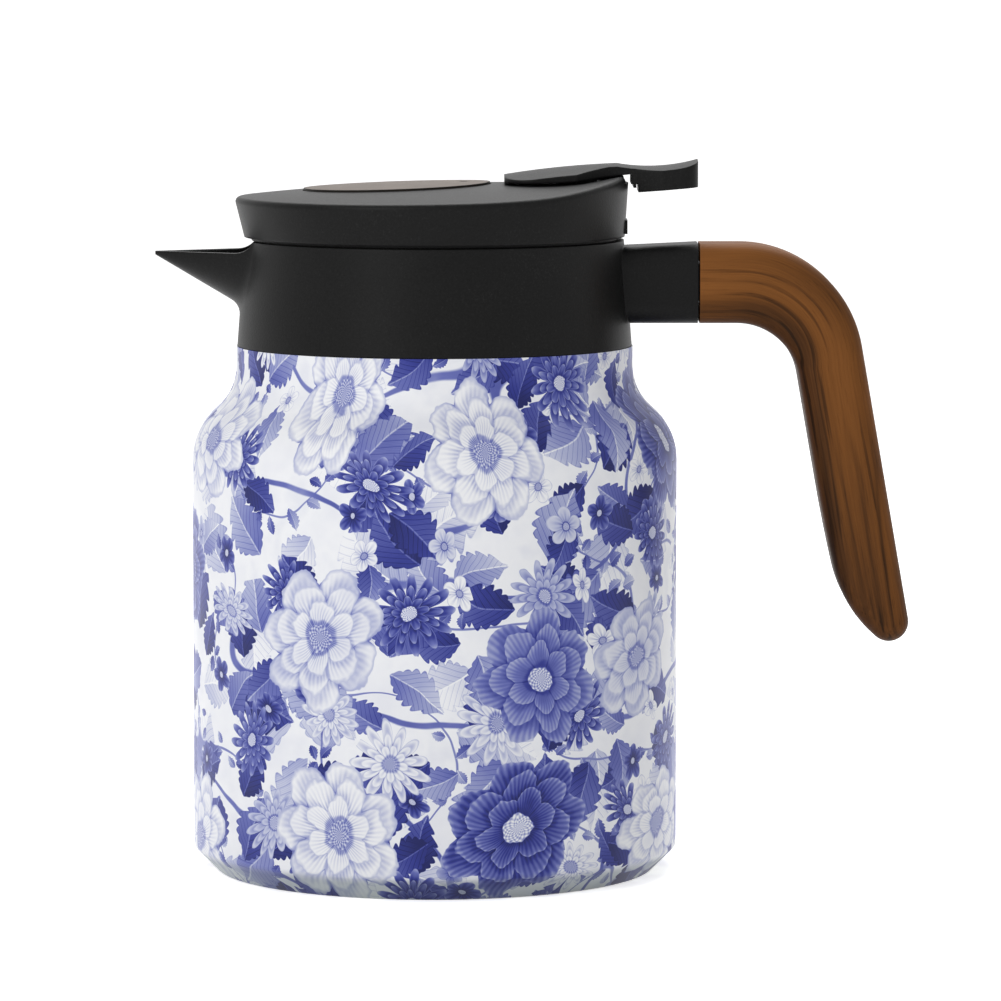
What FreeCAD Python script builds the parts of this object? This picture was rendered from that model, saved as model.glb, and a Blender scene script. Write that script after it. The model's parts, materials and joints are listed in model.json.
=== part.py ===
import FreeCAD, Part
import math
import os
import Sketcher

# An insulated pouring jug with a thumb lever, as separate pieces that fit together.
# Millimetres and degrees. The origin is the centre of the foot, +Z is up, the spout points along -X
# and the handle along +X, so the jug is mirrored about the XZ plane.
SIZES = {
    # General
    "steel": 0.6,
    "fit": 0.05,
    "gap": 0.3,
    "spare": 5.0,
    # Flask
    "body_radius": 60.0,
    "foot_bevel": 6.0,
    "foot_ring": 4.0,
    "foot_round": 1.5,
    "shoulder_z": 102.0,
    "shoulder_bulge": 16.5,
    "shoulder_hollow": 14.1,
    "neck_radius": 49.0,
    "ledge_z": 130.2,
    "throat_radius": 46.2,
    "lip_z": 142.0,
    "mouth_radius": 42.9,
    "bead": 0.6,
    "bead_z": 136.0,
    "liner_gap": 3.4,
    "liner_floor_z": 8.0,
    "liner_corner": 10.0,
    "liner_shoulder_z": 100.0,
    "liner_bulge": 14.0,
    "liner_hollow": 16.0,
    "dish_radius": 44.0,
    "dish_slope": 2.5,
    "dish_rise": 2.5,
    "plate_overlap": 2.0,
    "seal_disc_radius": 8.0,
    "seal_disc_height": 1.2,
    # Collar
    "collar_bottom_radius": 48.8,
    "collar_top_radius": 46.8,
    "collar_top_z": 156.3,
    "collar_bore": 43.5,
    "neck_seal_height": 1.2,
    # Spout
    "spout_root_x": 36.0,
    "spout_tip_x": 69.0,
    "spout_root_radius": 20.4,
    "spout_tip_radius": 0.9,
    "spout_blend": 4.0,
    "spout_rim_z": 153.5,
    "spout_rim_x": 48.9,
    "spout_rim_round": 5.0,
    "channel_root_x": 38.0,
    "channel_tip_x": 67.6,
    "channel_axis_z": 158.5,
    "channel_floor_z": 142.9,
    "channel_tip_z": 153.6,
    # Handle
    "stub_root_x": 40.0,
    "stub_end_x": 64.9,
    "stub_bottom_z": 136.0,
    "stub_root_top_z": 154.4,
    "stub_top_z": 155.6,
    "handle_width": 21.0,
    "handle_round": 4.6,
    "joint_gap": 0.45,
    "bend_inner_x": 74.5,
    "bend_inner_radius": 15.5,
    "bend_outer_x": 75.4,
    "bend_outer_radius": 30.5,
    "grip_lean": 9.9,
    "grip_flare_z": 96.0,
    "grip_flare_radius": 385.0,
    "grip_heel_lean": 13.0,
    "grip_heel_round": 32.0,
    "grip_toe_lean": 48.0,
    "grip_tip_round": 4.9,
    "core_start_x": 50.3,
    "core_end_x": 82.0,
    "core_width": 12.0,
    "core_bottom_z": 141.0,
    "core_top_z": 151.0,
    "core_round": 2.0,
    "screw_x": 57.0,
    "screw_radius": 1.95,
    "screw_head_radius": 3.3,
    "screw_head_height": 2.0,
    "screw_end_z": 149.0,
    # Lid
    "lid_bottom_z": 157.2,
    "lid_bottom_radius": 47.0,
    "lid_flare": 0.25,
    "lid_rear_flare": 0.065,
    "lid_top_z": 170.2,
    "lid_flat_x": 8.0,
    "lid_fall": 500.0,
    "lid_sweep_x": 24.0,
    "lid_sweep": 112.0,
    "lid_crown": 390.0,
    "lid_edge": 1.2,
    "lid_bore": 45.4,
    "lid_ceiling_z": 164.4,
    "disc_x": 9.3,
    "disc_radius": 23.0,
    "disc_floor_z": 167.2,
    "disc_groove": 0.35,
    "disc_rise": 0.5,
    "mark_x": 7.1,
    "mark_radius": 1.1,
    "mark_depth": 0.4,
    "lid_screw_circle": 16.0,
    "lid_screw_radius": 1.5,
    "lid_screw_head": 2.9,
    "lid_screw_length": 9.0,
    "tab_width": 10.0,
    "tab_bottom_z": 157.9,
    "tab_height": 3.4,
    "tab_reach": 47.6,
    # Stopper
    "stopper_radius": 40.0,
    "stopper_bore": 38.0,
    "stopper_flange": 45.2,
    "flange_height": 2.3,
    "divider_z": 149.0,
    "divider": 1.6,
    "guide_radius": 6.0,
    "guide_z": 145.2,
    "seal_pocket_radius": 4.3,
    "seal_pocket_depth": 1.9,
    "rib_radius": 41.4,
    "rib_bottom_z": 140.7,
    "rib_height": 1.0,
    "tube_bottom_z": 135.2,
    "window_width": 28.0,
    "window_bottom_z": 143.4,
    "window_height": 5.0,
    "window_x": 30.0,
    "boss_radius": 3.4,
    "post_inner_y": 8.0,
    "post_outer_y": 11.0,
    "post_front_x": 34.3,
    "post_rear_x": 37.8,
    "base_bottom_z": 133.0,
    "base_bevel": 1.2,
    "spigot_height": 2.0,
    "spigot_wall": 1.5,
    "seat_radius": 11.0,
    "seat_wall": 1.4,
    "seat_height": 0.55,
    "gasket_radius": 42.5,
    "gasket_core": 41.2,
    "retainer_radius": 6.0,
    "retainer_height": 0.5,
    # Valve
    "stem_radius": 2.5,
    "stem_top_z": 158.0,
    "stem_fit": 0.08,
    "plate_z": 137.3,
    "plate_radius": 12.5,
    "plate_height": 1.8,
    "valve_seal_radius": 13.2,
    "valve_seal_height": 1.5,
    "spigot_radius": 2.2,
    "nut_across": 11.0,
    "nut_height": 1.8,
    "cap_z": 153.6,
    "cap_height": 1.4,
    "cap_radius": 5.5,
    "cap_groove": 0.6,
    "spring_radius": 4.2,
    "spring_wire": 0.35,
    "spring_turns": 4.5,
    # Lever
    "pivot_x": 36.0,
    "pin_radius": 1.5,
    "pin_reach": 11.0,
    "arm_pin_z": 169.0,
    "arm_pin_radius": 0.9,
    "slot_front_x": 30.0,
    "slot_rear_x": 42.0,
    "slot_width": 14.0,
    "notch_z": 170.4,
    "notch_gap": 1.5,
    "lever_front_x": 17.2,
    "lever_end_x": 64.9,
    "lever_width": 28.0,
    "lever_round": 8.0,
    "lever_shoulder_x": 35.0,
    "lever_neck_x": 43.0,
    "lever_neck_end_x": 49.5,
    "lever_neck_width": 16.0,
    "pad_width": 20.6,
    "pad_x": 56.0,
    "pad_round": 4.0,
    "lever_crown": 55.0,
    "ridge_start_x": 15.2,
    "ridge_start_z": 172.1,
    "ridge_x": 45.0,
    "ridge_z": 175.2,
    "ridge_bow": 220.0,
    "pad_end_z": 176.2,
    "pad_dish": 45.0,
    "lever_gap": 0.45,
    "neck_under_z": 172.75,
    "lever_heel_x": 48.4,
    "lever_heel_z": 170.3,
    "tooth_x": 49.0,
    "tooth_width": 0.7,
    "tooth_height": 0.9,
    "skirt_x": 50.2,
    "skirt_front_z": 168.3,
    "skirt_end_z": 170.0,
    "lug_width": 12.4,
    "lug_slot": 6.4,
    "lug_root": 1.0,
    "hub_radius": 4.0,
    "arm_width": 10.4,
    "yoke_width": 6.0,
    "yoke_half": 3.2,
    "yoke_top_z": 170.4,
    "arm_heel_z": 161.6,
    "arm_wide_x": 27.0,
    "fork_bottom_z": 151.45,
    "fork_height": 0.95,
    "fork_end_x": 5.0,
    "fork_slot_x": 4.6,
    "fork_slot": 5.7,
    "nub_radius": 1.1,
    "arm_knee_x": 7.5,
    "arm_knee_z": 153.9,
    "arm_top_x": 31.0,
    "arm_top_z": 163.0,
}


class Size:
    """A length or angle that carries its number and the expression that gives it from the sheet."""

    def __init__(self, value, text):
        self.value = value
        self.text = text

    def __add__(self, other):
        other = as_size(other)
        return Size(self.value + other.value, f"({self.text} + {other.text})")

    def __sub__(self, other):
        other = as_size(other)
        return Size(self.value - other.value, f"({self.text} - {other.text})")

    def __mul__(self, other):
        other = as_size(other)
        return Size(self.value * other.value, f"({self.text} * {other.text})")

    def __truediv__(self, other):
        other = as_size(other)
        return Size(self.value / other.value, f"({self.text} / {other.text})")

    def __neg__(self):
        return Size(-self.value, f"(0 - {self.text})")


def as_size(number):
    if isinstance(number, Size):
        return number
    return Size(float(number), f"{float(number)}")


def root(area):
    return Size(math.sqrt(area.value), f"sqrt({area.text})")


def sine(angle):
    return Size(math.sin(math.radians(angle.value)), f"sin({angle.text})")


def cosine(angle):
    return Size(math.cos(math.radians(angle.value)), f"cos({angle.text})")


def tangent(angle):
    return sine(angle) / cosine(angle)


class Names:
    """Holds one Size for each row of the sheet."""


doc = FreeCAD.newDocument("jug")
sheet = doc.addObject("Spreadsheet::Sheet", "Sizes")
s = Names()
for row, (size_name, number) in enumerate(SIZES.items(), 1):
    sheet.set(f"A{row}", size_name)
    sheet.set(f"B{row}", str(number))
    sheet.setAlias(f"B{row}", size_name)
    setattr(s, size_name, Size(number, f"Sizes.{size_name}"))
doc.recompute()

ZERO = as_size(0)
EIGHTH_TURN = as_size(45)
HIGH_Z = s.pad_end_z + s.spare * 3
WIDE = s.body_radius * 3
# Degrees that the crowned cutters turn, enough to pass the whole lid or lever
LID_SWEEP = 16
LEVER_SWEEP = 40


# Helpers that draw bound sketches and turn them into solids

def new_body(name):
    body = doc.addObject("PartDesign::Body", name)
    body.Label = name
    return body


def new_sketch(body, name, plane, offset):
    sketch = body.newObject("Sketcher::SketchObject", name)
    role = f"{plane}_Plane"
    support = [item for item in body.Origin.OriginFeatures if item.Role == role][0]
    sketch.AttachmentSupport = [(support, "")]
    sketch.MapMode = "FlatFace"
    offset = as_size(offset)
    sketch.AttachmentOffset = FreeCAD.Placement(FreeCAD.Vector(0, 0, offset.value), FreeCAD.Rotation())
    if "Sizes" in offset.text:
        sketch.setExpression("AttachmentOffset.Base.z", offset.text)
    return sketch


def bind(sketch, constraint, name, size):
    """Add one dimension to a sketch and bind it to the sheet."""
    index = sketch.addConstraint(constraint)
    sketch.renameConstraint(index, name)
    if "Sizes" in size.text:
        sketch.setExpression(f"Constraints.{name}", size.text)


def place_point(sketch, geometry, corner, name, x, y):
    """Hold a corner of the sketch at x, y."""
    for axis, kind, size in (("x", "DistanceX", x), ("y", "DistanceY", y)):
        size = as_size(size)
        if abs(size.value) < 1e-9:
            own_axis = -2 if axis == "x" else -1
            sketch.addConstraint(Sketcher.Constraint("PointOnObject", geometry, corner, own_axis))
        elif size.value > 0:
            bind(sketch, Sketcher.Constraint(kind, -1, 1, geometry, corner, size.value), axis + name, size)
        else:
            size = -size
            bind(sketch, Sketcher.Constraint(kind, geometry, corner, -1, 1, size.value), axis + name, size)


def arc_between(first, second, radius):
    """The shorter arc from first to second, turning left for a positive radius."""
    chord = second - first
    half = chord.Length / 2
    left = FreeCAD.Vector(-chord.y, chord.x, 0).normalize()
    reach = math.sqrt(max(radius * radius - half * half, 0))
    centre = (first + second) * 0.5 + left * (reach if radius > 0 else -reach)
    if radius < 0:
        first, second = second, first
    start = math.atan2(first.y - centre.y, first.x - centre.x)
    stop = math.atan2(second.y - centre.y, second.x - centre.x)
    circle = Part.Circle(centre, FreeCAD.Vector(0, 0, 1), abs(radius))
    return Part.ArcOfCircle(circle, start, stop if stop > start else stop + 2 * math.pi)


def add_outline(sketch, points, tag=""):
    """Add a closed outline. A point (x, y, radius) starts an arc that turns left if radius is positive."""
    points = [[as_size(value) for value in point] for point in points]
    ends = []
    for index, point in enumerate(points):
        follower = points[(index + 1) % len(points)]
        first = FreeCAD.Vector(point[0].value, point[1].value, 0)
        second = FreeCAD.Vector(follower[0].value, follower[1].value, 0)
        if len(point) == 2:
            geometry = sketch.addGeometry(Part.LineSegment(first, second))
            ends.append((geometry, 1, 2))
        else:
            radius = point[2]
            geometry = sketch.addGeometry(arc_between(first, second, radius.value))
            ends.append((geometry, 1, 2) if radius.value > 0 else (geometry, 2, 1))
    for index, (geometry, begin, stop) in enumerate(ends):
        follower = ends[(index + 1) % len(ends)]
        sketch.addConstraint(Sketcher.Constraint("Coincident", geometry, stop, follower[0], follower[1]))
    for index, (geometry, begin, stop) in enumerate(ends):
        place_point(sketch, geometry, begin, f"{tag}{index}", points[index][0], points[index][1])
        if len(points[index]) == 3:
            radius = points[index][2]
            radius = radius if radius.value > 0 else -radius
            bind(sketch, Sketcher.Constraint("Radius", geometry, radius.value), f"r{tag}{index}", radius)


def outline(body, name, plane, points, offset=0):
    sketch = new_sketch(body, name, plane, offset)
    add_outline(sketch, points)
    return sketch


def outlines(body, name, plane, groups, offset=0):
    sketch = new_sketch(body, name, plane, offset)
    for number, points in enumerate(groups):
        add_outline(sketch, points, f"g{number}_")
    return sketch


def circles(body, name, plane, places, offset=0):
    """Draw circles given as (x, y, radius)."""
    sketch = new_sketch(body, name, plane, offset)
    for number, place in enumerate(places):
        x, y, radius = [as_size(value) for value in place]
        centre = FreeCAD.Vector(x.value, y.value, 0)
        geometry = sketch.addGeometry(Part.Circle(centre, FreeCAD.Vector(0, 0, 1), radius.value))
        place_point(sketch, geometry, 3, str(number), x, y)
        bind(sketch, Sketcher.Constraint("Radius", geometry, radius.value), f"r{number}", radius)
    return sketch


def box_points(x0, y0, x1, y1):
    return [(x0, y0), (x1, y0), (x1, y1), (x0, y1)]


def round_box_points(x0, y0, x1, y1, radius):
    x0, y0, x1, y1 = [as_size(value) for value in (x0, y0, x1, y1)]
    return [
        (x0 + radius, y0), (x1 - radius, y0, radius),
        (x1, y0 + radius), (x1, y1 - radius, radius),
        (x1 - radius, y1), (x0 + radius, y1, radius),
        (x0, y1 - radius), (x0, y0 + radius, radius),
    ]


def revolve(body, name, sketch, cut=False, axis="V_Axis", angle=360, both_ways=False):
    kind = "PartDesign::Groove" if cut else "PartDesign::Revolution"
    feature = body.newObject(kind, name)
    feature.Profile = sketch
    feature.ReferenceAxis = (sketch, [axis])
    feature.Angle = angle
    feature.Midplane = both_ways
    doc.recompute()
    return feature


def extrude(body, name, sketch, length, cut=False, both_ways=False, reverse=False):
    kind = "PartDesign::Pocket" if cut else "PartDesign::Pad"
    feature = body.newObject(kind, name)
    feature.Profile = sketch
    length = as_size(length)
    feature.Length = length.value
    if "Sizes" in length.text:
        feature.setExpression("Length", length.text)
    feature.SideType = "Symmetric" if both_ways else "One side"
    feature.Reversed = reverse
    doc.recompute()
    return feature


def loft(body, name, first, second):
    """A solid with straight sides from one sketch to another."""
    feature = body.newObject("PartDesign::AdditiveLoft", name)
    feature.Profile = first
    feature.Sections = [second]
    feature.Ruled = True
    doc.recompute()
    return feature


def fillet(body, name, radius, wanted):
    """Round the edges of the body's last feature for which wanted(edge) holds."""
    last = body.Tip
    edges = [f"Edge{number}" for number, edge in enumerate(last.Shape.Edges, 1) if wanted(edge)]
    feature = body.newObject("PartDesign::Fillet", name)
    feature.Base = (last, edges)
    feature.Radius = radius.value
    feature.setExpression("Radius", radius.text)
    doc.recompute()
    return feature


def is_ring(edge, radius, height):
    """True for a circular edge of that radius about the jug's axis at that height."""
    curve = edge.Curve
    if not isinstance(curve, Part.Circle):
        return False
    return abs(curve.Radius - radius.value) < 0.01 and abs(curve.Center.z - height.value) < 0.01


def box_of(edge):
    return edge.BoundBox


def turned(name, points):
    """A piece turned about the jug's axis from an outline of radius and height."""
    body = new_body(name)
    revolve(body, f"{name}_turn", outline(body, f"{name}_profile", "XZ", points))
    return body


# Flask

def shoulder(body_r, neck_r, start_z, bulge, hollow, inset):
    """Points up the shoulder: an arc bulging out, then a hollow arc, both upright at their outer ends."""
    span = bulge + hollow
    across = span - (body_r - neck_r)
    rise = root(span * span - across * across)
    reach = bulge - inset
    inflection_r = body_r - bulge + reach * across / span
    inflection_z = start_z + reach * rise / span
    return [
        (body_r - inset, start_z, reach),
        (inflection_r, inflection_z, -(hollow + inset)),
        (neck_r - inset, start_z + rise),
    ]


def downward(curve):
    """The same curve of points, passed from its top to its bottom."""
    places = [point[:2] for point in reversed(curve)]
    radii = [-point[2] for point in reversed(curve[:-1])]
    return [(*place, radius) for place, radius in zip(places, radii)] + [places[-1]]


def make_outer_shell():
    wall = s.steel
    outside = shoulder(s.body_radius, s.neck_radius, s.shoulder_z, s.shoulder_bulge, s.shoulder_hollow, ZERO)
    inside = shoulder(s.body_radius, s.neck_radius, s.shoulder_z, s.shoulder_bulge, s.shoulder_hollow, wall)
    foot_r = s.body_radius - s.foot_bevel
    bevel_inset = wall * tangent(EIGHTH_TURN / 2)
    bead_r = s.throat_radius + s.bead
    points = [(foot_r - s.foot_ring, 0), (foot_r, 0), (s.body_radius, s.foot_bevel)]
    points += outside
    points += [
        (s.neck_radius, s.ledge_z),
        (s.throat_radius, s.ledge_z),
        (s.throat_radius, s.bead_z - s.bead * 2),
        (bead_r, s.bead_z - s.bead),
        (bead_r, s.bead_z + s.bead),
        (s.throat_radius, s.bead_z + s.bead * 2),
        (s.throat_radius, s.lip_z),
        (s.mouth_radius + wall, s.lip_z),
        (s.mouth_radius + wall, s.lip_z - wall),
        (s.throat_radius - wall, s.lip_z - wall),
        (s.throat_radius - wall, s.ledge_z - wall),
        (s.neck_radius - wall, s.ledge_z - wall),
    ]
    points += downward(inside)
    points += [
        (s.body_radius - wall, s.foot_bevel + bevel_inset),
        (foot_r - bevel_inset, wall),
        (foot_r - s.foot_ring, wall),
    ]
    body = turned("outer_shell", points)
    fillet(body, "foot_rounding", s.foot_round, lambda edge: is_ring(edge, s.body_radius, s.foot_bevel)
           or is_ring(edge, foot_r, ZERO))
    return body


def make_inner_flask():
    wall = s.steel
    radius = s.body_radius - s.steel - s.liner_gap
    neck = s.mouth_radius + wall
    outside = shoulder(radius, neck, s.liner_shoulder_z, s.liner_bulge, s.liner_hollow, ZERO)
    inside = shoulder(radius, neck, s.liner_shoulder_z, s.liner_bulge, s.liner_hollow, wall)
    corner_z = s.liner_floor_z - wall + s.liner_corner
    flat = radius - s.liner_corner
    points = [(0, s.liner_floor_z - wall), (flat, s.liner_floor_z - wall, s.liner_corner), (radius, corner_z)]
    points += outside
    points += [(neck, s.lip_z), (s.mouth_radius, s.lip_z)]
    points += downward(inside)
    points += [
        (radius - wall, corner_z, -(s.liner_corner - wall)),
        (flat, s.liner_floor_z),
        (0, s.liner_floor_z),
    ]
    return turned("inner_flask", points)


def make_base_plate():
    wall = s.steel
    rim = s.body_radius - s.foot_bevel - s.foot_ring + s.plate_overlap
    inner = s.dish_radius + s.dish_slope
    top = s.dish_rise + wall
    return turned("base_plate", [
        (0, top), (s.dish_radius, top), (inner, wall), (rim, wall),
        (rim, wall * 2), (inner + wall / 2, wall * 2), (s.dish_radius + wall / 2, top + wall),
        (0, top + wall),
    ])


def make_vacuum_seal():
    top = s.dish_rise + s.steel
    return turned("vacuum_seal", [
        (0, top - s.seal_disc_height), (s.seal_disc_radius - s.steel, top - s.seal_disc_height),
        (s.seal_disc_radius, top - s.seal_disc_height + s.steel), (s.seal_disc_radius, top), (0, top),
    ])


# Collar with spout and handle stub

def collar_radius(z):
    slope = (s.collar_bottom_radius - s.collar_top_radius) / (s.collar_top_z - s.ledge_z)
    return s.collar_bottom_radius - (z - s.ledge_z) * slope


def on_collar_side(edge):
    """True for an edge where another part of the moulding meets the collar's conical side."""
    box = box_of(edge)
    level = box.ZLength < 0.001 and box.ZMin > s.spout_rim_z.value
    if box.ZMin < s.ledge_z.value + 1 or box.YLength < 0.01 or level:
        return False
    for share in (0.1, 0.5, 0.9):
        point = edge.valueAt(edge.FirstParameter + share * (edge.LastParameter - edge.FirstParameter))
        radius = collar_radius(as_size(point.z)).value
        if abs(math.hypot(point.x, point.y) - radius) > 0.02:
            return False
    return True


def make_collar():
    body = new_body("collar")
    add_spout(body)
    revolve(body, "ring", outline(body, "ring_profile", "XZ", [
        (0, s.ledge_z), (s.collar_bottom_radius, s.ledge_z), (s.collar_top_radius, s.collar_top_z),
        (0, s.collar_top_z),
    ]))
    fillet(body, "spout_blend", s.spout_blend, on_collar_side)
    add_stub(body)
    trim_spout_rim(body)
    bore_collar(body)
    cut_channel(body)
    socket_collar(body)
    return body


def add_spout(body):
    """The spout is a cone that lies along the rim's height, cut level with the collar's top."""
    sketch = outline(body, "spout_profile", "XZ", [
        (-s.spout_tip_x, s.spout_rim_z), (-s.spout_tip_x, s.spout_rim_z - s.spout_tip_radius),
        (-s.spout_root_x, s.spout_rim_z - s.spout_root_radius), (-s.spout_root_x, s.spout_rim_z),
    ])
    add_axis(sketch, s.body_radius, s.spout_rim_z, s.spout_rim_z)
    revolve(body, "spout", sketch, axis="Axis0")
    far = s.spout_tip_x + s.spare
    extrude(body, "spout_top", outline(body, "spout_top_profile", "XZ", box_points(
        -far, s.collar_top_z, far, s.collar_top_z + s.body_radius)), WIDE, cut=True, both_ways=True)


def cut_channel(body):
    """The pouring channel is a second cone, with its axis rising from the spout's tip."""
    rise = (s.channel_axis_z - s.channel_tip_z) / (s.channel_tip_x - s.channel_root_x)
    sketch = outline(body, "channel_profile", "XZ", [
        (-s.channel_tip_x, s.channel_tip_z), (-s.channel_root_x, s.channel_floor_z),
        (-s.channel_root_x, s.channel_axis_z),
    ])
    add_axis(sketch, s.channel_tip_x, s.channel_tip_z, s.channel_tip_z + s.channel_tip_x * rise * 2)
    revolve(body, "channel", sketch, cut=True, axis="Axis0")


def trim_spout_rim(body):
    """Cut the spout down to its rim, which sweeps up into the collar's top edge."""
    turn = s.spout_rim_round
    past = s.collar_top_z + s.spare
    climb = s.collar_top_z + s.gap - s.spout_rim_z
    run = root(turn * turn - (turn - climb) * (turn - climb))
    far = -(s.spout_tip_x + s.spare)
    extrude(body, "spout_rim", outline(body, "spout_rim_profile", "XZ", [
        (far, s.spout_rim_z), (-s.spout_rim_x, s.spout_rim_z, turn),
        (run - s.spout_rim_x, s.spout_rim_z + climb), (run - s.spout_rim_x, past), (far, past),
    ]), WIDE, cut=True, both_ways=True)


def add_stub(body):
    """The handle stub, rounded along its length."""
    extrude(body, "stub", outline(body, "stub_profile", "XZ", [
        (s.stub_root_x, s.stub_bottom_z), (s.stub_end_x, s.stub_bottom_z), (s.stub_end_x, s.stub_top_z),
        (s.stub_root_x, s.stub_root_top_z),
    ]), s.handle_width, both_ways=True)

    def along_stub(edge):
        box = box_of(edge)
        side = abs(abs(box.YMin) - s.handle_width.value / 2) < 0.01
        return side and box.YLength < 0.01 and box.XLength > s.handle_round.value and box.XMin > 0

    fillet(body, "stub_rounding", s.handle_round, along_stub)


def bore_collar(body):
    bead_r = s.throat_radius + s.bead + s.fit
    throat = s.throat_radius + s.fit
    seal_top = s.lip_z + s.neck_seal_height
    revolve(body, "bore", outline(body, "bore_profile", "XZ", [
        (0, s.ledge_z - s.spare), (throat, s.ledge_z - s.spare),
        (throat, s.bead_z - s.bead * 2 - s.fit), (bead_r, s.bead_z - s.bead - s.fit),
        (bead_r, s.bead_z + s.bead + s.fit), (throat, s.bead_z + s.bead * 2 + s.fit),
        (throat, seal_top), (s.collar_bore, seal_top), (s.collar_bore, s.collar_top_z + s.spare),
        (0, s.collar_top_z + s.spare),
    ]), cut=True)


def socket_collar(body):
    """The core's socket in the stub's end and the screw's hole from below."""
    half = s.core_width / 2 + s.fit
    depth = s.stub_end_x - s.core_start_x + s.fit * 2
    extrude(body, "socket", outline(body, "socket_profile", "YZ", round_box_points(
        -half, s.core_bottom_z - s.fit, half, s.core_top_z + s.fit, s.core_round), s.stub_end_x),
        depth, cut=True)
    head_hole = s.screw_head_radius + s.gap
    shank_hole = s.screw_radius + s.gap
    extrude(body, "head_hole", circles(body, "head_hole_place", "XY", [(s.screw_x, 0, head_hole)],
            s.stub_bottom_z + s.screw_head_height + s.gap), s.core_width, cut=True)
    extrude(body, "shank_hole", circles(body, "shank_hole_place", "XY", [(s.screw_x, 0, shank_hole)],
            s.core_bottom_z + s.gap), s.core_width, cut=True)


def make_neck_seal():
    return turned("neck_seal", box_points(
        s.collar_bore + s.gap, s.lip_z, s.throat_radius - s.gap, s.lip_z + s.neck_seal_height))


# Handle

def make_handle_core():
    body = new_body("handle_core")
    half = s.core_width / 2
    extrude(body, "bar", outline(body, "bar_profile", "YZ", round_box_points(
        -half, s.core_bottom_z, half, s.core_top_z, s.core_round), s.core_start_x),
        s.core_end_x - s.core_start_x)
    extrude(body, "screw_hole", circles(body, "screw_hole_place", "XY",
            [(s.screw_x, 0, s.screw_radius + s.fit)], s.screw_end_z + s.gap), s.core_width, cut=True)
    return body


def make_handle_screw():
    body = new_body("handle_screw")
    head_z = s.stub_bottom_z + s.gap
    extrude(body, "head", circles(body, "head_place", "XY", [(s.screw_x, 0, s.screw_head_radius)], head_z),
            s.screw_head_height)
    extrude(body, "shank", circles(body, "shank_place", "XY", [(s.screw_x, 0, s.screw_radius)], head_z),
            s.screw_end_z - head_z)
    extrude(body, "drive", outline(body, "drive_profile", "XY", box_points(
        s.screw_x - s.screw_radius, -s.gap, s.screw_x + s.screw_radius, s.gap), head_z),
        s.screw_head_height / 2, cut=True, reverse=True)
    return body


def bend(start, radius, lean, end_lean):
    """End of an arc that turns from one lean to another, both measured from straight down towards +X."""
    across = cosine(lean) - cosine(end_lean)
    along = sine(lean) - sine(end_lean)
    return start[0] + radius * across, start[1] + radius * along


def grip_outline(start_x):
    """The grip seen from the side: stub end, bend, leaning leg and a tip that is cut back on the inside."""
    level = as_size(90)
    upward = s.grip_lean + 180
    inner = bend((s.bend_inner_x, s.stub_bottom_z), -s.bend_inner_radius, level, s.grip_lean)
    outer = bend((s.bend_outer_x, s.stub_top_z), -s.bend_outer_radius, level, s.grip_lean)
    flare = (inner[0] + (inner[1] - s.grip_flare_z) * tangent(s.grip_lean), s.grip_flare_z)
    heel = bend(flare, s.grip_flare_radius, s.grip_lean, s.grip_heel_lean)
    toe = bend(heel, s.grip_heel_round, s.grip_heel_lean, s.grip_toe_lean)
    # The tip's arc touches the outer side, which fixes the length of the straight cut before it.
    side_x, side_z = cosine(s.grip_lean), sine(s.grip_lean)
    cut_x, cut_z = sine(s.grip_toe_lean), -cosine(s.grip_toe_lean)
    centre_x = toe[0] - s.grip_tip_round * cut_z
    centre_z = toe[1] + s.grip_tip_round * cut_x
    inside = (outer[0] - centre_x) * side_x + (outer[1] - centre_z) * side_z
    length = (inside - s.grip_tip_round) / (cut_x * side_x + cut_z * side_z)
    tip = (toe[0] + cut_x * length, toe[1] + cut_z * length)
    end = bend(tip, s.grip_tip_round, s.grip_toe_lean, upward)
    return [
        (start_x, s.stub_bottom_z),
        (s.bend_inner_x, s.stub_bottom_z, -s.bend_inner_radius),
        inner,
        (*flare, s.grip_flare_radius),
        (*heel, s.grip_heel_round),
        toe,
        (*tip, s.grip_tip_round),
        end,
        (*outer, s.bend_outer_radius),
        (s.bend_outer_x, s.stub_top_z),
        (start_x, s.stub_top_z),
    ]


def make_handle_grip():
    body = new_body("handle_grip")
    start_x = s.stub_end_x + s.joint_gap
    extrude(body, "grip", outline(body, "grip_profile", "XZ", grip_outline(start_x)), s.handle_width,
            both_ways=True)

    def along_grip(edge):
        box = box_of(edge)
        return box.YLength < 0.01 and box.XMax > start_x.value + 0.01

    fillet(body, "grip_rounding", s.handle_round, along_grip)
    half = s.core_width / 2 + s.fit
    extrude(body, "grip_socket", outline(body, "grip_socket_profile", "YZ", round_box_points(
        -half, s.core_bottom_z - s.fit, half, s.core_top_z + s.fit, s.core_round), start_x),
        s.core_end_x + s.gap - start_x, cut=True, reverse=True)
    return body


# Lid

def lid_front_z(x):
    """Height of the lid's top in front of its flat, where it falls away towards the spout."""
    across = s.lid_flat_x - x
    return s.lid_top_z - s.lid_fall + root(s.lid_fall * s.lid_fall - across * across)


def lid_sweep_z(x):
    """Height of the lid's top behind its flat, where it sweeps up to the crest."""
    across = x - s.lid_sweep_x
    return s.lid_top_z + s.lid_sweep - root(s.lid_sweep * s.lid_sweep - across * across)


def cut_lid_top(body, name, rise=ZERO):
    """Cut a body to the lid's top or above it: a dome with a flat that sweeps up at the rear."""
    reach = s.body_radius
    high = HIGH_Z + s.spare
    top = s.lid_top_z + rise
    sketch = outline(body, f"{name}_profile", "XZ", [
        (-reach, lid_front_z(-reach) + rise, -s.lid_fall), (s.lid_flat_x, top),
        (s.lid_sweep_x, top, s.lid_sweep), (reach, lid_sweep_z(reach) + rise), (reach, high), (-reach, high),
    ])
    axis_z = s.lid_top_z - s.lid_crown
    add_axis(sketch, reach, axis_z, axis_z)
    revolve(body, name, sketch, cut=True, axis="Axis0", angle=LID_SWEEP, both_ways=True)


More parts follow.
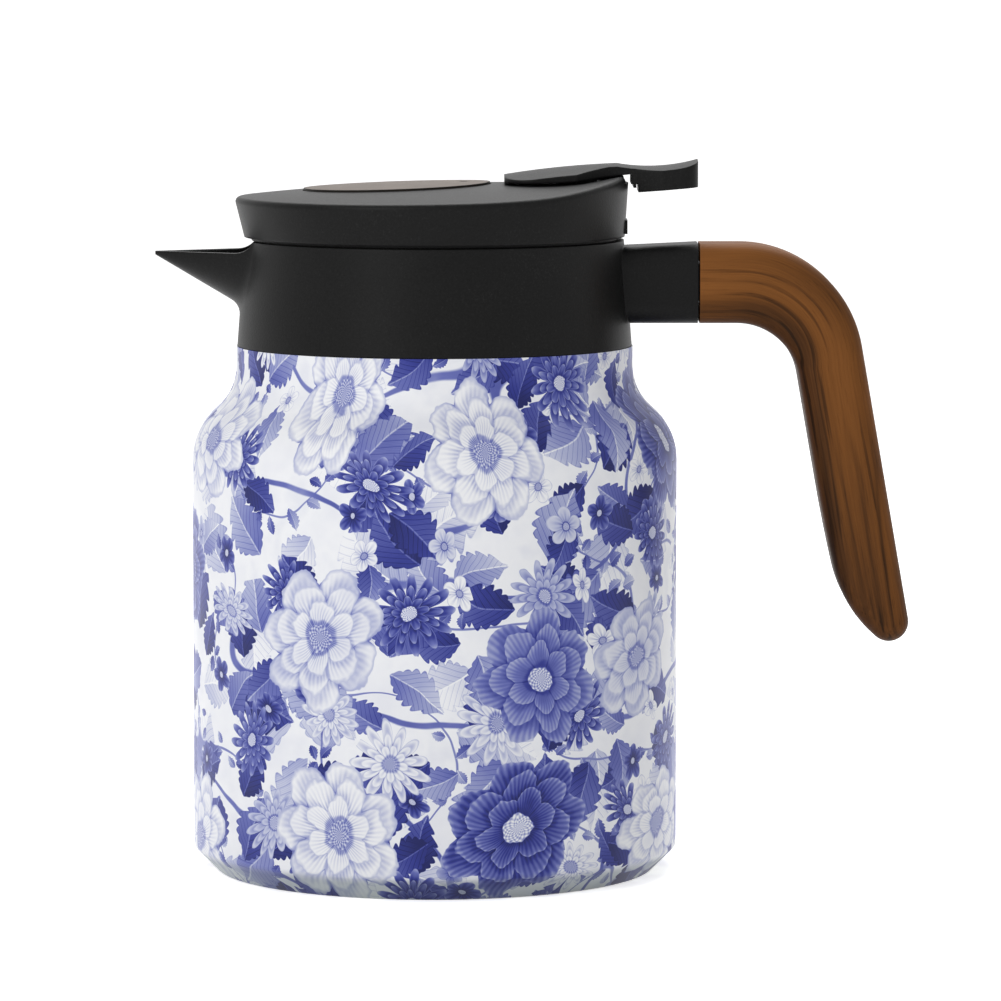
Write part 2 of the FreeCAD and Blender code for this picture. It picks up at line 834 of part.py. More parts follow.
def add_axis(sketch, reach, left_z, right_z):
    """A construction line across the sketch, to turn an outline about."""
    first = FreeCAD.Vector(-reach.value, left_z.value, 0)
    second = FreeCAD.Vector(reach.value, right_z.value, 0)
    line = sketch.addGeometry(Part.LineSegment(first, second), True)
    place_point(sketch, line, 1, "axis_left", -reach, left_z)
    place_point(sketch, line, 2, "axis_right", reach, right_z)


def make_lid_cover():
    """The lid's top, whose side leans out most towards the spout and least at the rear."""
    body = new_body("lid_cover")
    height = HIGH_Z - s.lid_bottom_z
    shift = height * (s.lid_flare - s.lid_rear_flare) / 2
    top_radius = s.lid_bottom_radius + height * (s.lid_flare + s.lid_rear_flare) / 2
    loft(body, "cover",
         circles(body, "cover_bottom", "XY", [(0, 0, s.lid_bottom_radius)], s.lid_bottom_z),
         circles(body, "cover_high", "XY", [(-shift, 0, top_radius)], HIGH_Z))
    cut_lid_top(body, "cover_top")
    fillet(body, "cover_edge", s.lid_edge, lambda edge: box_of(edge).ZMin > s.lid_ceiling_z.value)
    half = s.tab_width / 2
    extrude(body, "tab", outline(body, "tab_profile", "XY", box_points(
        s.lid_bore + s.gap, -half, s.tab_reach, half), s.tab_bottom_z), s.tab_height)
    extrude(body, "cavity", circles(body, "cavity_place", "XY", [(0, 0, s.lid_bore)], s.lid_ceiling_z),
            WIDE, cut=True)
    extrude(body, "disc_recess", circles(body, "disc_recess_place", "XY",
            [(-s.disc_x, 0, s.disc_radius + s.disc_groove)], s.disc_floor_z), WIDE, cut=True, reverse=True)
    cut_screw_holes(body)
    cut_lever_seat(body)
    return body


def screw_places():
    """Three places on a circle about the inset plate's centre."""
    near_x = s.lid_screw_circle / 2 - s.disc_x
    side_y = s.lid_screw_circle * sine(as_size(60))
    return [(-(s.disc_x + s.lid_screw_circle), ZERO), (near_x, side_y), (near_x, -side_y)]


def cut_screw_holes(body):
    shank = s.lid_screw_radius + s.fit * 2
    head = s.lid_screw_head + s.fit * 2
    depth = (s.disc_floor_z - s.lid_ceiling_z) / 2
    extrude(body, "screw_holes", circles(body, "screw_hole_places", "XY",
            [(x, y, shank) for x, y in screw_places()], s.disc_floor_z), depth * 2, cut=True)
    extrude(body, "screw_heads", circles(body, "screw_head_places", "XY",
            [(x, y, head) for x, y in screw_places()], s.disc_floor_z), depth, cut=True)


def cut_lever_seat(body):
    """The slot for the lever's lugs, the pin's cradles and a notch that follows the lever's neck."""
    half = s.slot_width / 2
    extrude(body, "lever_slot", outline(body, "lever_slot_profile", "XY", box_points(
        s.slot_front_x, -half, s.slot_rear_x, half), HIGH_Z), WIDE, cut=True)
    cradle = s.pin_radius + s.fit
    floor = s.lid_ceiling_z - s.spare
    extrude(body, "cradles", outline(body, "cradle_profile", "XZ", [
        (s.pivot_x - cradle, floor), (s.pivot_x + cradle, floor), (s.pivot_x + cradle, pivot_z(), cradle),
        (s.pivot_x, pivot_z() + cradle, cradle), (s.pivot_x - cradle, pivot_z()),
    ]), (s.pin_reach + s.fit * 2) * 2, cut=True, both_ways=True)
    wide = s.lever_width / 2 + s.notch_gap
    narrow = s.lever_neck_width / 2 + s.notch_gap
    extrude(body, "crest_notch", outline(body, "crest_notch_profile", "XY", [
        (s.lever_shoulder_x, -wide), (s.lever_neck_x, -narrow), (s.body_radius, -narrow),
        (s.body_radius, narrow), (s.lever_neck_x, narrow), (s.lever_shoulder_x, wide),
    ], s.notch_z), WIDE, cut=True, reverse=True)


def make_lid_disc():
    body = new_body("lid_disc")
    extrude(body, "disc", circles(body, "disc_place", "XY", [(-s.disc_x, 0, s.disc_radius)], s.disc_floor_z),
            HIGH_Z - s.disc_floor_z)
    cut_lid_top(body, "disc_top", s.disc_rise)
    extrude(body, "mark", circles(body, "mark_place", "XY", [(s.mark_x, 0, s.mark_radius)],
            s.lid_top_z + s.disc_rise - s.mark_depth), WIDE, cut=True, reverse=True)
    return body


def make_lid_screws():
    """The three lid screws, turned once and repeated about the inset plate's centre."""
    body = new_body("lid_screws")
    body.AllowCompound = True
    body.Placement = FreeCAD.Placement(FreeCAD.Vector(-s.disc_x.value, 0, 0), FreeCAD.Rotation())
    body.setExpression("Placement.Base.x", (-s.disc_x).text)
    x = -s.lid_screw_circle
    head_bottom = s.disc_floor_z - (s.disc_floor_z - s.lid_ceiling_z) / 2 + s.fit
    end_z = s.disc_floor_z - s.lid_screw_length
    head = extrude(body, "screw_head", circles(body, "screw_head_place", "XY",
                   [(x, 0, s.lid_screw_head)], head_bottom), s.disc_floor_z - head_bottom - s.fit)
    shank = extrude(body, "screw_shank", circles(body, "screw_shank_place", "XY",
                    [(x, 0, s.lid_screw_radius)], end_z), head_bottom - end_z + s.fit)
    pattern = body.newObject("PartDesign::PolarPattern", "screw_ring")
    pattern.Originals = [head, shank]
    pattern.Axis = ([item for item in body.Origin.OriginFeatures if item.Role == "Z_Axis"][0], [""])
    pattern.Angle = 360
    pattern.Occurrences = 3
    body.Tip = pattern
    doc.recompute()
    return body


# Stopper below the lid

def make_lid_stopper():
    body = new_body("lid_stopper")
    divider_top = s.divider_z + s.divider
    flange_z = s.collar_top_z + s.fit
    guide = s.stem_radius + s.stem_fit
    revolve(body, "plug", outline(body, "plug_profile", "XZ", [
        (guide, s.guide_z), (s.guide_radius, s.guide_z), (s.guide_radius, s.divider_z),
        (s.stopper_bore, s.divider_z), (s.stopper_bore, s.tube_bottom_z), (s.stopper_radius, s.tube_bottom_z),
        (s.stopper_radius, s.rib_bottom_z), (s.rib_radius, s.rib_bottom_z),
        (s.rib_radius, s.rib_bottom_z + s.rib_height), (s.stopper_radius, s.rib_bottom_z + s.rib_height),
        (s.stopper_radius, flange_z), (s.stopper_flange, flange_z),
        (s.stopper_flange, flange_z + s.flange_height), (s.stopper_bore, flange_z + s.flange_height),
        (s.stopper_bore, divider_top), (s.seal_pocket_radius, divider_top),
        (s.seal_pocket_radius, divider_top - s.seal_pocket_depth), (guide, divider_top - s.seal_pocket_depth),
    ]))
    half = s.window_width / 2
    extrude(body, "window", outline(body, "window_profile", "YZ", box_points(
        -half, s.window_bottom_z, half, s.window_bottom_z + s.window_height), -s.window_x),
        s.window_x, cut=True)
    extrude(body, "bosses", circles(body, "boss_places", "XY",
            [(x, y, s.boss_radius) for x, y in screw_places()], divider_top), s.lid_ceiling_z - divider_top)
    extrude(body, "boss_holes", circles(body, "boss_hole_places", "XY",
            [(x, y, s.lid_screw_radius + s.fit) for x, y in screw_places()], s.lid_ceiling_z),
            s.lid_screw_length, cut=True)
    extrude(body, "pin_posts", outlines(body, "pin_post_places", "XY", [
        box_points(s.post_front_x, s.post_inner_y, s.post_rear_x, s.post_outer_y),
        box_points(s.post_front_x, -s.post_outer_y, s.post_rear_x, -s.post_inner_y),
    ], divider_top), s.lid_ceiling_z - s.fit - divider_top)
    return body


def make_stopper_base():
    spigot = s.stopper_bore - s.fit * 2
    spigot_in = spigot - s.spigot_wall
    floor = s.tube_bottom_z - s.fit
    seat_out = s.seat_radius + s.seat_wall
    return turned("stopper_base", [
        (s.seat_radius, s.base_bottom_z), (s.rib_radius - s.base_bevel * 2, s.base_bottom_z),
        (s.rib_radius, s.base_bottom_z + s.base_bevel), (s.rib_radius, floor),
        (spigot, floor), (spigot, floor + s.spigot_height),
        (spigot_in, floor + s.spigot_height), (spigot_in, floor),
        (seat_out, floor), (seat_out, floor + s.seat_height), (s.seat_radius, floor + s.seat_height),
    ])


def make_lid_gasket():
    inner = s.stopper_radius + s.fit
    bottom = s.tube_bottom_z + s.fit
    top = s.rib_bottom_z - s.fit
    step = (top - bottom) / 6
    return turned("lid_gasket", [
        (inner, bottom), (s.gasket_core, bottom), (s.gasket_radius, bottom + step),
        (s.gasket_core, bottom + step * 2), (s.gasket_core, bottom + step * 3),
        (s.gasket_radius, bottom + step * 4), (s.gasket_core, bottom + step * 5), (s.gasket_core, top),
        (inner, top),
    ])


def make_stem_seal():
    """The O-ring in the divider's pocket."""
    body = new_body("stem_seal")
    inner = s.stem_radius + s.fit
    radius = (s.seal_pocket_radius - s.fit - inner) / 2
    middle_z = s.divider_z + s.divider - s.seal_pocket_depth + radius + s.fit
    revolve(body, "ring", circles(body, "ring_profile", "XZ", [(inner + radius, middle_z, radius)]))
    return body


def make_seal_retainer():
    bottom = s.divider_z + s.divider
    return turned("seal_retainer", box_points(
        s.stem_radius + s.gap, bottom, s.retainer_radius, bottom + s.retainer_height))


# Valve

def make_valve_stem():
    low = s.plate_z - s.valve_seal_height - s.nut_height
    neck = s.stem_radius - s.cap_groove
    cap_top = s.cap_z + s.cap_height
    return turned("valve_stem", [
        (0, low), (s.spigot_radius, low), (s.spigot_radius, s.plate_z), (s.plate_radius, s.plate_z),
        (s.plate_radius, s.plate_z + s.plate_height), (s.stem_radius, s.plate_z + s.plate_height),
        (s.stem_radius, s.cap_z), (neck, s.cap_z), (neck, cap_top), (s.stem_radius, cap_top),
        (s.stem_radius, s.stem_top_z), (0, s.stem_top_z),
    ])


def make_stem_cap():
    return turned("stem_cap", box_points(
        s.stem_radius - s.cap_groove + s.fit, s.cap_z, s.cap_radius, s.cap_z + s.cap_height))


def make_valve_seal():
    return turned("valve_seal", box_points(
        s.spigot_radius + s.fit, s.plate_z - s.valve_seal_height, s.valve_seal_radius, s.plate_z))


def make_valve_nut():
    body = new_body("valve_nut")
    top = s.plate_z - s.valve_seal_height
    half = s.nut_across / 2
    corner = half / cosine(as_size(30))
    corners = [(corner, ZERO), (corner / 2, half), (-corner / 2, half),
               (-corner, ZERO), (-corner / 2, -half), (corner / 2, -half)]
    bottom = top - s.nut_height
    extrude(body, "hexagon", outline(body, "hexagon_profile", "XY", corners, bottom), s.nut_height)
    extrude(body, "bore", circles(body, "bore_place", "XY", [(0, 0, s.spigot_radius + s.fit)], top),
            s.nut_height, cut=True)
    return body


def make_valve_spring():
    """Compression spring between the stem cap and the lid's ceiling."""
    body = new_body("valve_spring")
    low = s.cap_z + s.cap_height + s.spring_wire + s.fit
    high = s.lid_ceiling_z - s.spring_wire - s.fit
    coil = body.newObject("PartDesign::AdditiveHelix", "coil")
    profile = circles(body, "wire", "XZ", [(s.spring_radius, low, s.spring_wire)])
    coil.Profile = profile
    coil.ReferenceAxis = (profile, ["V_Axis"])
    coil.Mode = "height-turns-angle"
    coil.Height = (high - low).value
    coil.Turns = s.spring_turns.value
    coil.setExpression("Height", (high - low).text)
    coil.setExpression("Turns", s.spring_turns.text)
    body.Tip = coil
    doc.recompute()
    pitch = (high - low) / s.spring_turns
    print("spring: gap between turns", round((pitch - s.spring_wire * 2).value, 2), "mm")
    return body


# Lever

def pivot_z():
    """The pin lies against the plane of the lid's ceiling."""
    return s.lid_ceiling_z + s.pin_radius


def make_pin(name, z, radius, reach):
    """A round pin across the lever."""
    z, reach = as_size(z), as_size(reach)
    pin = doc.addObject("Part::Cylinder", name)
    pin.Label = name
    pin.Radius = radius.value
    pin.Height = reach.value * 2
    pin.setExpression("Radius", radius.text)
    pin.setExpression("Height", (reach * 2).text)
    pin.Placement = FreeCAD.Placement(
        FreeCAD.Vector(s.pivot_x.value, reach.value, z.value), FreeCAD.Rotation(FreeCAD.Vector(1, 0, 0), 90))
    pin.setExpression("Placement.Base.x", s.pivot_x.text)
    pin.setExpression("Placement.Base.y", reach.text)
    pin.setExpression("Placement.Base.z", z.text)
    doc.recompute()
    return pin


def lever_plan():
    """The lever seen from above: a rounded front plate, a neck and a thumb pad."""
    half = s.lever_width / 2
    neck = s.lever_neck_width / 2
    pad = s.pad_width / 2
    front = s.lever_front_x
    turn = s.lever_round
    corner = s.pad_round
    rear = s.lever_end_x
    near = [(front + turn, -half), (s.lever_shoulder_x, -half), (s.lever_neck_x, -neck),
            (s.lever_neck_end_x, -neck), (s.pad_x, -pad), (rear - corner, -pad, corner), (rear, corner - pad)]
    far = [(rear, pad - corner, corner), (rear - corner, pad), (s.pad_x, pad), (s.lever_neck_end_x, neck),
           (s.lever_neck_x, neck), (s.lever_shoulder_x, half), (front + turn, half, turn)]
    return near + far + [(front, half - turn), (front, turn - half, turn)]


def make_thumb_lever():
    body = new_body("thumb_lever")
    low = s.skirt_front_z - s.spare
    extrude(body, "plate", outline(body, "plate_plan", "XY", lever_plan(), low), HIGH_Z - low)
    shape_lever_top(body)
    shape_lever_underside(body)
    add_lugs(body)
    return body


def shape_lever_top(body):
    """A bowed front plate and a dished thumb pad, both slightly crowned across."""
    front = s.ridge_start_x
    rear = s.lever_end_x + s.spare
    high = HIGH_Z + s.spare
    sketch = outline(body, "lever_top_profile", "XZ", [
        (front, s.ridge_start_z, -s.ridge_bow), (s.ridge_x, s.ridge_z, s.pad_dish),
        (s.lever_end_x, s.pad_end_z), (rear, s.pad_end_z), (rear, high), (front, high),
    ])
    add_axis(sketch, s.body_radius, s.ridge_z - s.lever_crown, s.ridge_z - s.lever_crown)
    revolve(body, "lever_top", sketch, cut=True, axis="Axis0", angle=LEVER_SWEEP, both_ways=True)


def shape_lever_underside(body):
    """Clear of the lid's top in front, then behind its crest a heel with a tooth and the pad's skirt."""
    front = s.lever_front_x - s.spare
    rear = s.lever_end_x + s.spare
    floor = s.lid_ceiling_z - s.spare * 2
    tooth_rear_x = s.tooth_x + s.tooth_width
    tooth_z = s.lever_heel_z - s.tooth_height
    extrude(body, "underside", outline(body, "underside_profile", "XZ", [
        (front, floor), (rear, floor), (rear, s.skirt_end_z), (s.skirt_x, s.skirt_front_z),
        (s.skirt_x, s.lever_heel_z), (tooth_rear_x, s.lever_heel_z), (tooth_rear_x, tooth_z),
        (s.tooth_x, tooth_z), (s.tooth_x, s.lever_heel_z), (s.lever_heel_x, s.lever_heel_z),
        (s.lever_heel_x, s.neck_under_z),
        (s.pivot_x, lid_sweep_z(s.pivot_x) + s.lever_gap, -s.lid_sweep),
        (s.lid_sweep_x, s.lid_top_z + s.lever_gap), (front, s.lid_top_z + s.lever_gap),
    ]), WIDE, cut=True, both_ways=True)


def add_lugs(body):
    """Two lugs under the plate with the pin's hole and the arm's hole."""
    hub = s.hub_radius
    under = lid_sweep_z(s.pivot_x) + s.lever_gap
    top = under + s.lug_root
    extrude(body, "lugs", outline(body, "lug_profile", "XZ", [
        (s.pivot_x - hub, top), (s.pivot_x - hub, pivot_z(), hub), (s.pivot_x, pivot_z() - hub, hub),
        (s.pivot_x + hub, pivot_z()), (s.pivot_x + hub, top),
    ]), s.lug_width, both_ways=True)
    reach = hub + s.gap
    extrude(body, "yoke_slot", outline(body, "yoke_slot_profile", "XZ", box_points(
        s.pivot_x - reach, pivot_z() - reach, s.pivot_x + reach, under)), s.lug_slot,
        cut=True, both_ways=True)
    extrude(body, "pin_holes", circles(body, "pin_hole_places", "XZ", [
        (s.pivot_x, pivot_z(), s.pin_radius + s.fit), (s.pivot_x, s.arm_pin_z, s.arm_pin_radius + s.fit),
    ]), WIDE, cut=True, both_ways=True)


def make_lift_arm():
    """A yoke between the lever's lugs with an arm that ends in a fork round the valve stem."""
    body = new_body("lift_arm")
    left = s.pivot_x - s.yoke_half
    right = s.pivot_x + s.yoke_half
    fork_top = s.fork_bottom_z + s.fork_height
    heel_x = s.pivot_x + s.yoke_half / 2
    extrude(body, "yoke", outline(body, "yoke_profile", "XZ", [
        (left, s.yoke_top_z), (left, pivot_z()), (s.arm_top_x, s.arm_top_z), (s.arm_knee_x, s.arm_knee_z),
        (s.arm_knee_x, s.fork_bottom_z), (heel_x, s.arm_heel_z), (right, pivot_z() - s.yoke_half / 2),
        (right, s.yoke_top_z),
    ]), s.yoke_width, both_ways=True)
    share = (s.arm_wide_x - s.arm_knee_x) / (heel_x - s.arm_knee_x)
    low_wide = s.fork_bottom_z + (s.arm_heel_z - s.fork_bottom_z) * share
    top_share = (s.arm_wide_x - s.arm_knee_x) / (s.arm_top_x - s.arm_knee_x)
    top_wide = s.arm_knee_z + (s.arm_top_z - s.arm_knee_z) * top_share
    extrude(body, "arm", outline(body, "arm_profile", "XZ", [
        (-s.fork_end_x, s.fork_bottom_z), (s.arm_knee_x, s.fork_bottom_z), (s.arm_wide_x, low_wide),
        (s.arm_wide_x, top_wide), (s.arm_knee_x, s.arm_knee_z), (s.arm_knee_x, fork_top),
        (-s.fork_end_x, fork_top),
    ]), s.arm_width, both_ways=True)
    extrude(body, "nubs", circles(body, "nub_place", "XZ", [(0, fork_top, s.nub_radius)]), s.arm_width,
            both_ways=True)
    extrude(body, "nub_trim", outline(body, "nub_trim_profile", "XZ", box_points(
        -s.fork_end_x, s.fork_bottom_z - s.spare, s.fork_end_x, s.fork_bottom_z)), s.arm_width,
        cut=True, both_ways=True)
    half = s.fork_slot / 2
    extrude(body, "fork", outline(body, "fork_profile", "XY", box_points(
        -s.fork_end_x - s.spare, -half, s.fork_slot_x, half), HIGH_Z), WIDE, cut=True)
    extrude(body, "pin_holes", circles(body, "pin_hole_places", "XZ", [
        (s.pivot_x, pivot_z(), s.pin_radius + s.fit), (s.pivot_x, s.arm_pin_z, s.arm_pin_radius + s.fit),
    ]), WIDE, cut=True, both_ways=True)
    return body


pieces = [
    make_outer_shell(),
    make_inner_flask(),
    make_base_plate(),
    make_vacuum_seal(),
    make_collar(),
    make_neck_seal(),
    make_handle_core(),
    make_handle_screw(),
    make_handle_grip(),
    make_lid_cover(),
    make_lid_disc(),
    make_lid_screws(),
    make_lid_stopper(),
    make_stopper_base(),
    make_lid_gasket(),
    make_stem_seal(),
    make_seal_retainer(),
    make_valve_stem(),
    make_stem_cap(),
    make_valve_seal(),
    make_valve_nut(),
    make_valve_spring(),
    make_pin("lever_pin", pivot_z(), s.pin_radius, s.pin_reach),
    make_pin("arm_pin", s.arm_pin_z, s.arm_pin_radius, s.lug_width / 2),
    make_thumb_lever(),
    make_lift_arm(),
]
doc.recompute()

# Check every object, then write one file for each piece
for item in doc.Objects:
    if "Invalid" in item.State or "Error" in item.State:
        raise RuntimeError(f"{item.Name} did not compute: {item.State}")
os.makedirs("parts", exist_ok=True)
for piece in pieces:
    shape = piece.Shape
    if shape.isNull() or not shape.isValid():
        raise RuntimeError(f"{piece.Label} has no valid shape")
    shape.exportStep(f"parts/{piece.Label}.step")
    box = shape.BoundBox
    print(f"{piece.Label}: {len(shape.Solids)} solid, {shape.Volume:.0f} mm3, "
          f"x {box.XMin:.1f} to {box.XMax:.1f}, y {box.YMin:.1f} to {box.YMax:.1f}, "
          f"z {box.ZMin:.1f} to {box.ZMax:.1f}")
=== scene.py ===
import json
import math

import bpy
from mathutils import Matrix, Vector


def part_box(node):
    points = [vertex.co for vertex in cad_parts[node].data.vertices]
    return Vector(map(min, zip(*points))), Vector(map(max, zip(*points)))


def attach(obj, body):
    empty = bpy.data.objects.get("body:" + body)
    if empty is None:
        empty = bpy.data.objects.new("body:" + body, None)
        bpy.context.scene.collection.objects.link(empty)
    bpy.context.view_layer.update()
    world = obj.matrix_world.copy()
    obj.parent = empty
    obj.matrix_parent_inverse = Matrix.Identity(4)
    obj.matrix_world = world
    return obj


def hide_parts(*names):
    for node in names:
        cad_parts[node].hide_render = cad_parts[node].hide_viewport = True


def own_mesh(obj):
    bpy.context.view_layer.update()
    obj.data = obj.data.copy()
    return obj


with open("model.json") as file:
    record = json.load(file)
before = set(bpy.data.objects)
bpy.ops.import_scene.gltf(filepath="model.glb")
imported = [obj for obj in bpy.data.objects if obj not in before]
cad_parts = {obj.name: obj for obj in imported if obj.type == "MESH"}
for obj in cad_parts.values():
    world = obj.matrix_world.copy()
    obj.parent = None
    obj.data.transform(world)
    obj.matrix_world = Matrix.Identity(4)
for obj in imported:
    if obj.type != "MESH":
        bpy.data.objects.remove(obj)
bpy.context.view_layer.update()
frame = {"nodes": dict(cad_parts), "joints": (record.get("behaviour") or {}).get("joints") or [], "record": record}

TURN = 2 * math.pi
MM = 0.001

# Sizes of the jug that the looks follow, in metres
BODY_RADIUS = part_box("outer_shell")[1].y
FOOT_TOP_Z = 6 * MM
BEND_X = 75.4 * MM
BEND_Z = 125.1 * MM
GRIP_LEAN = math.tan(math.radians(9.9))
INNER_DARK_LAYER = 17.5 * MM
DISC_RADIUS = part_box("lid_disc")[1].y
MARK_X = 7.1 * MM
MARK_RADIUS = 1.1 * MM
SPRING_RADIUS = 4.2 * MM
SPRING_WIRE = 0.35 * MM
SPRING_LOW_Z = 155.4 * MM
SPRING_HIGH_Z = 164.0 * MM
SPRING_TURNS = 4.5
STEPS_PER_TURN = 32
CEILING_Z = 164.4 * MM

# The photograph's view: what its middle shows, how wide it is there and where it was taken from
VIEW_X = 16.3 * MM
VIEW_Z = 91.5 * MM
VIEW_WIDTH = 248.4 * MM
EYE_DISTANCE = 1.5
EYE_HEIGHT = 0.236
CLIP_NEAR = 0.05
CLIP_FAR = 100.0

# The studio: how bright the sky lights the jug, the floor's own glow where it is seen, and two soft lamps
SKY_LIGHT = 0.55
FLOOR_GLOW = 0.66
FLOOR_REACH = 30.0
LAMP_TARGET = (0.0, 0.0, 0.09)
KEY_PLACE = (-0.85, -1.2, 0.85)
KEY_WATTS = 9.0
TOP_PLACE = (0.1, 0.7, 1.2)
TOP_WATTS = 10.0

# The mix node's sockets for colours, which share their names with its sockets for numbers
MIX_SHARE = 0
MIX_FIRST = 6
MIX_SECOND = 7
MIX_RESULT = 2


# Helpers for material nodes

class Wire:
    """A number that flows through a material's nodes. Arithmetic on it adds math nodes."""

    def __init__(self, tree, socket):
        self.tree = tree
        self.socket = socket

    def __add__(self, other):
        return compute("ADD", self, other)

    def __radd__(self, other):
        return compute("ADD", other, self)

    def __sub__(self, other):
        return compute("SUBTRACT", self, other)

    def __rsub__(self, other):
        return compute("SUBTRACT", other, self)

    def __mul__(self, other):
        return compute("MULTIPLY", self, other)

    def __rmul__(self, other):
        return compute("MULTIPLY", other, self)

    def __truediv__(self, other):
        return compute("DIVIDE", self, other)

    def __neg__(self):
        return compute("MULTIPLY", self, -1.0)


def feed(tree, slot, value):
    """Link a wire into a socket, or set a plain value on it."""
    if isinstance(value, Wire):
        tree.links.new(value.socket, slot)
    else:
        slot.default_value = value


def compute(operation, *values):
    tree = next(value.tree for value in values if isinstance(value, Wire))
    node = tree.nodes.new("ShaderNodeMath")
    node.operation = operation
    for slot, value in zip(node.inputs, values):
        feed(tree, slot, value)
    return Wire(tree, node.outputs[0])


def hypot(x, y):
    return compute("SQRT", x * x + y * y)


def fract(value):
    return compute("FRACT", value)


def size_of(value):
    return compute("ABSOLUTE", value)


def fade(value, low, high):
    """0 below low, 1 above high and a soft step between them."""
    tree = value.tree
    node = tree.nodes.new("ShaderNodeMapRange")
    node.interpolation_type = "SMOOTHSTEP"
    feed(tree, node.inputs["Value"], value)
    feed(tree, node.inputs["From Min"], low)
    feed(tree, node.inputs["From Max"], high)
    return Wire(tree, node.outputs["Result"])


def mix(first, second, share):
    """first where share is 0, second where it is 1."""
    tree = share.tree
    node = tree.nodes.new("ShaderNodeMix")
    feed(tree, node.inputs["Factor"], share)
    feed(tree, node.inputs["A"], first)
    feed(tree, node.inputs["B"], second)
    return Wire(tree, node.outputs["Result"])


def join(tree, x, y, z=0.0):
    node = tree.nodes.new("ShaderNodeCombineXYZ")
    for slot, value in zip(node.inputs, (x, y, z)):
        feed(tree, slot, value)
    return Wire(tree, node.outputs[0])


def split(tree, vector):
    node = tree.nodes.new("ShaderNodeSeparateXYZ")
    feed(tree, node.inputs[0], vector)
    return [Wire(tree, output) for output in node.outputs]


def noise(tree, vector, scale, detail=2.0, roughness=0.5):
    node = tree.nodes.new("ShaderNodeTexNoise")
    feed(tree, node.inputs["Vector"], vector)
    node.inputs["Scale"].default_value = scale
    node.inputs["Detail"].default_value = detail
    node.inputs["Roughness"].default_value = roughness
    return Wire(tree, node.outputs["Fac"])


def ramp(tree, value, stops):
    """A colour ramp through (position, colour) stops."""
    node = tree.nodes.new("ShaderNodeValToRGB")
    feed(tree, node.inputs["Fac"], value)
    elements = node.color_ramp.elements
    while len(elements) < len(stops):
        elements.new(1.0)
    for element, (position, colour) in zip(elements, stops):
        element.position = position
        element.color = (*colour, 1.0)
    return Wire(tree, node.outputs["Color"])


def srgb(red, green, blue):
    """A colour given as 0 to 255 screen values, as the linear values that nodes take."""
    shares = [value / 255 for value in (red, green, blue)]
    return tuple(v / 12.92 if v <= 0.04045 else ((v + 0.055) / 1.055) ** 2.4 for v in shares)


def grey(level, blueness=0):
    return srgb(level, level, level + blueness)


def new_material(name, **settings):
    """A material with a principled shader, and the place in the piece's own frame."""
    material = bpy.data.materials.new(name)
    material.use_nodes = True
    tree = material.node_tree
    shader = next(node for node in tree.nodes if node.type == "BSDF_PRINCIPLED")
    for slot, value in settings.items():
        shader.inputs[slot.replace("_", " ")].default_value = value
    place = tree.nodes.new("ShaderNodeTexCoord")
    return material, tree, shader, Wire(tree, place.outputs["Object"])


def tint(tree, colour, by, share):
    """The colour, multiplied by another one where share is 1."""
    node = tree.nodes.new("ShaderNodeMix")
    node.data_type = "RGBA"
    node.blend_type = "MULTIPLY"
    feed(tree, node.inputs[MIX_SHARE], share)
    feed(tree, node.inputs[MIX_FIRST], colour)
    node.inputs[MIX_SECOND].default_value = (*by, 1.0)
    return Wire(tree, node.outputs[MIX_RESULT])


def seen_strength(tree, seen, elsewhere):
    """One strength where it is seen directly, mirrored or through glass, and another that lights the jug."""
    rays = tree.nodes.new("ShaderNodeLightPath")
    kinds = [Wire(tree, rays.outputs[f"Is {kind} Ray"]) for kind in ("Camera", "Glossy", "Transmission")]
    return mix(elsewhere, seen, compute("MAXIMUM", compute("MAXIMUM", kinds[0], kinds[1]), kinds[2]))


def relief(tree, shader, height, distance, strength, rounding=0.0):
    """Bump from a height, on edges that look rounded by that radius."""
    node = tree.nodes.new("ShaderNodeBump")
    node.inputs["Strength"].default_value = strength
    node.inputs["Distance"].default_value = distance
    feed(tree, node.inputs["Height"], height)
    if rounding:
        bevel = tree.nodes.new("ShaderNodeBevel")
        bevel.samples = 6
        bevel.inputs["Radius"].default_value = rounding
        tree.links.new(bevel.outputs["Normal"], node.inputs["Normal"])
    tree.links.new(node.outputs["Normal"], shader.inputs["Normal"])


# The printed floral pattern, drawn in tones from 0, the darkest blue, to 1, white

def scatter(tree, u, v, spacing, jitter, shift):
    """The offset from the nearest of many scattered points, and three random numbers of that point."""
    node = tree.nodes.new("ShaderNodeTexVoronoi")
    node.voronoi_dimensions = "2D"
    node.inputs["Scale"].default_value = 1 / spacing
    node.inputs["Randomness"].default_value = jitter
    feed(tree, node.inputs["Vector"], join(tree, u + shift, v + shift))
    centre_u, centre_v = split(tree, Wire(tree, node.outputs["Position"]))[:2]
    chance = split(tree, Wire(tree, node.outputs["Color"]))
    return u + shift - centre_u, v + shift - centre_v, chance


def turn_place(x, y, angle):
    cosine = compute("COSINE", angle)
    sine = compute("SINE", angle)
    return x * cosine + y * sine, y * cosine - x * sine


def petals(angle, reach, share, count, notch, lines, pale):
    """One row of petals: how far out along its petals a place is, and its tone there."""
    across = fract(angle * (count / TURN) + share * 3.7) - 0.5
    along = reach / (share - across * across * (4 * notch * share))
    hatch = compute("SINE", across * (TURN * lines) + along * 2.0) * 0.5 + 0.5
    seam = fade(size_of(across), 0.40, 0.49)
    rim = fade(along, 0.90, 0.98)
    inward = compute("MAXIMUM", 1.0 - along, 0.0)
    dark_tone = 0.02 + along * along * 0.34 + hatch * along * 0.20 + rim * 0.10 - seam * 0.14
    pale_tone = 0.76 + fade(along, 0.05, 0.5) * 0.24 - hatch * inward * 0.40 - seam * 0.20 - rim * 0.22
    return along, mix(dark_tone, pale_tone, pale)


